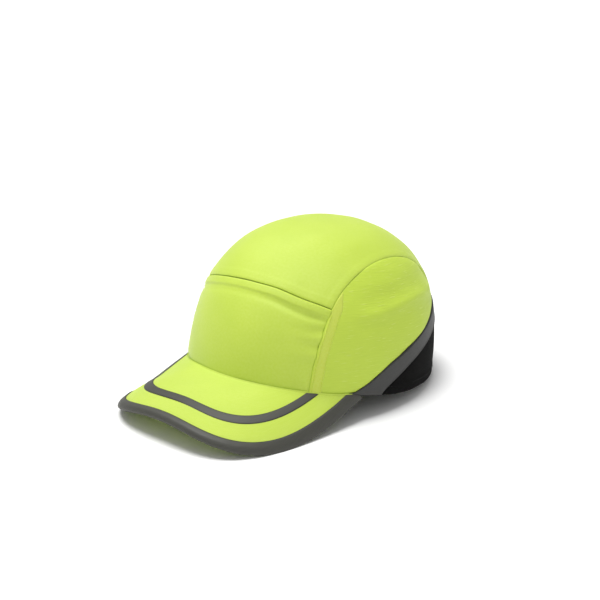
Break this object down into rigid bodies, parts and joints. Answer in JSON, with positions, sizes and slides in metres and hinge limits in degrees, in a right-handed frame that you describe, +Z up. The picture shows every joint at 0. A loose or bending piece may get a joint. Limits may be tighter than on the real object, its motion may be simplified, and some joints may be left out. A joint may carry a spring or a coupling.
{
  "type": "bump cap",
  "caption": "High-visibility bump cap: sewn fabric cap with a curved brim, reflective edging and band, a lift-out protective shell with foam pads, and a rear hook-and-loop strap.",
  "frame": {"origin": "middle of the underside of the cap as it stands on a table, on the two low corners of its brim and the back of its rim", "axes": "the front of the cap points along -Y, the wearer's left is +X, +Z is up; the rim plane is tipped back by 7.6 degrees as the brim props the front up"},
  "size_m": [0.172, 0.265, 0.1275],
  "materials": {
    "hi_vis_fabric": "woven fluorescent yellow cloth, matte",
    "reflective_fabric": "fine glass-bead reflective tape, dark grey satin",
    "black_fabric": "woven cloth, matte black",
    "stiffener_fabric": "open-weave stiffened cotton",
    "towelling": "looped towelling, black",
    "label_fabric": "smooth woven label, blank",
    "brim_board": "moulded flat board, matte",
    "webbing": "flat woven webbing, black",
    "loop_tape": "brushed loop pile, black",
    "hook_tape": "rows of small hooks, black",
    "ring_plastic": "moulded, satin black",
    "shell_plastic": "moulded, fine texture, black",
    "foam": "closed-cell foam, matte dark grey"
  },
  "bodies": {
    "cap": {"front_panel": "hi_vis_fabric", "crown_panel": "hi_vis_fabric", "side_panel_left": "hi_vis_fabric", "side_panel_right": "hi_vis_fabric", "seam_strip_left": "hi_vis_fabric", "seam_strip_right": "hi_vis_fabric", "brim_top_cover": "hi_vis_fabric", "brim_bottom_cover": "hi_vis_fabric", "reflective_band": "reflective_fabric", "brim_edge_binding": "reflective_fabric", "brim_stripe": "reflective_fabric", "rear_panel": "black_fabric", "arch_binding": "black_fabric", "seam_tape_front": "black_fabric", "seam_tape_left": "black_fabric", "seam_tape_right": "black_fabric", "front_stiffener": "stiffener_fabric", "sweatband": "towelling", "care_label": "label_fabric", "brim_core": "brim_board", "strap_base": "webbing", "buckle_keeper": "webbing", "loop_patch": "loop_tape", "buckle_ring": "ring_plastic"},
    "insert": {"bump_shell": "shell_plastic", "pad_front": "foam", "pad_left": "foam", "pad_right": "foam", "pad_rear": "foam", "pad_crown": "foam"},
    "strap_flap": {"strap_fold": "webbing"},
    "strap_end": {"strap_tail": "webbing", "hook_patch": "hook_tape"}
  },
  "joints": [
    {"name": "shell_lift", "type": "slide", "parent": "cap", "child": "insert", "axis": [0, -0.1319, -0.9913], "range_m": [0, 0.14]},
    {"name": "strap_peel", "type": "hinge", "parent": "cap", "child": "strap_flap", "pos_m": [-0.02454, 0.1247, 0.01379], "axis": [0, 0.1319, 0.9913], "range_deg": [0, 150]},
    {"name": "strap_slide", "type": "hinge", "parent": "strap_flap", "child": "strap_end", "pos_m": [0, 0.04756, 0.02406], "axis": [0, -0.1319, -0.9913], "range_deg": [0, 16]}
  ]
}
